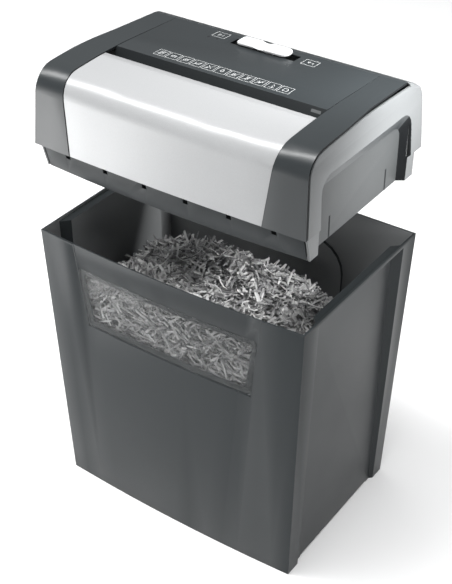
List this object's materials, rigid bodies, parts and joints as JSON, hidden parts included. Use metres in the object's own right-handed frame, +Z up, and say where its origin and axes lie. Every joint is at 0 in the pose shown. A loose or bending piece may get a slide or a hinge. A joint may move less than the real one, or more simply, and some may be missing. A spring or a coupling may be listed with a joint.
{
  "type": "paper shredder",
  "caption": "Cross-cut paper shredder: a lift-off head with a feed slot, geared cutting cylinders and a mode slider, over a tapered waste bin with a front window.",
  "frame": {"origin": "centre of the footprint, on the floor under the bin", "axes": "+Z up, +Y towards the rear, +X to the right as seen from the feed side in front"},
  "size_m": [0.3, 0.2072, 0.4779],
  "materials": {
    "charcoal_plastic": "satin moulded plastic, charcoal grey",
    "silver_plastic": "silver-grey metallic paint on moulded plastic",
    "light_plastic": "smooth light grey plastic",
    "clear_plastic": "clear moulded plastic",
    "black_plastic": "plain black moulded plastic",
    "nylon": "natural nylon",
    "steel": "oiled machined steel",
    "bronze": "sintered bronze",
    "rubber": "soft black rubber",
    "circuit_board": "green solder mask"
  },
  "bodies": {
    "bin": {"bin_shell": "charcoal_plastic", "window_pane": "clear_plastic"},
    "head": {"top_cover": "charcoal_plastic", "end_band_left": "charcoal_plastic", "end_band_right": "charcoal_plastic", "rear_panel": "charcoal_plastic", "side_cheek_left": "charcoal_plastic", "side_cheek_right": "charcoal_plastic", "lower_housing": "charcoal_plastic", "front_fascia": "silver_plastic", "stripper_comb_front": "black_plastic", "stripper_comb_rear": "black_plastic", "motor_saddle": "black_plastic", "gear_cover": "black_plastic", "mode_switch": "black_plastic", "relay": "black_plastic", "interlock_switch": "black_plastic", "paper_sensor": "black_plastic", "mains_terminal": "nylon", "frame_plate_left": "steel", "frame_plate_right": "steel", "tie_rod_front": "steel", "tie_rod_rear": "steel", "motor": "steel", "first_gear_axle": "steel", "second_gear_axle": "steel", "housing_screw_1": "steel", "housing_screw_2": "steel", "housing_screw_3": "steel", "housing_screw_4": "steel", "bush_front_left": "bronze", "bush_front_right": "bronze", "bush_rear_left": "bronze", "bush_rear_right": "bronze", "cord_gland": "rubber", "control_board": "circuit_board"},
    "slider": {"mode_slider": "light_plastic"},
    "cutter_rear": {"cutter_cylinder_rear": "steel", "cutter_gear_rear": "steel", "drive_gear": "nylon"},
    "cutter_front": {"cutter_cylinder_front": "steel", "cutter_gear_front": "steel"},
    "second_gear": {"second_compound_gear": "nylon"},
    "first_gear": {"first_compound_gear": "nylon"},
    "motor_rotor": {"motor_pinion": "steel"},
    "paper_lever": {"paper_lever": "black_plastic"},
    "interlock_plunger": {"interlock_plunger": "light_plastic"}
  },
  "joints": [
    {"name": "head_lift", "type": "slide", "parent": "bin", "child": "head", "axis": [0, 0, 1], "range_m": [-0.0937, 0.06]},
    {"name": "mode_slide", "type": "slide", "parent": "head", "child": "slider", "axis": [1, 0, 0], "range_m": [-0.007, 0.007]},
    {"name": "cutter_rear_spin", "type": "hinge", "parent": "head", "child": "cutter_rear", "pos_m": [0, -0.0125, 0.424], "axis": [1, 0, 0], "continuous": true},
    {"name": "cutter_front_spin", "type": "hinge", "parent": "head", "child": "cutter_front", "pos_m": [0, -0.0395, 0.424], "axis": [1, 0, 0], "continuous": true},
    {"name": "second_gear_spin", "type": "hinge", "parent": "head", "child": "second_gear", "pos_m": [0, 0.0217, 0.424], "axis": [1, 0, 0], "continuous": true},
    {"name": "first_gear_spin", "type": "hinge", "parent": "head", "child": "first_gear", "pos_m": [0, 0.04595, 0.41], "axis": [1, 0, 0], "continuous": true},
    {"name": "motor_spin", "type": "hinge", "parent": "head", "child": "motor_rotor", "pos_m": [0, 0.06319, 0.42446], "axis": [1, 0, 0], "continuous": true},
    {"name": "paper_lever_tilt", "type": "hinge", "parent": "head", "child": "paper_lever", "pos_m": [0, -0.01, 0.449], "axis": [1, 0, 0], "range_deg": [0, 15], "stiffness_Nm_per_rad": 0.002, "springref_deg": -5.73},
    {"name": "interlock_press", "type": "slide", "parent": "head", "child": "interlock_plunger", "axis": [0, 0, 1], "range_m": [0, 0.004], "stiffness_N_per_m": 100, "springref_m": -0.002}
  ],
  "couplings": [
    {"joint": "cutter_front_spin", "follows": "cutter_rear_spin", "ratio": -1},
    {"joint": "second_gear_spin", "follows": "cutter_rear_spin", "ratio": -3.75},
    {"joint": "first_gear_spin", "follows": "cutter_rear_spin", "ratio": 13.75},
    {"joint": "motor_spin", "follows": "cutter_rear_spin", "ratio": -55}
  ]
}
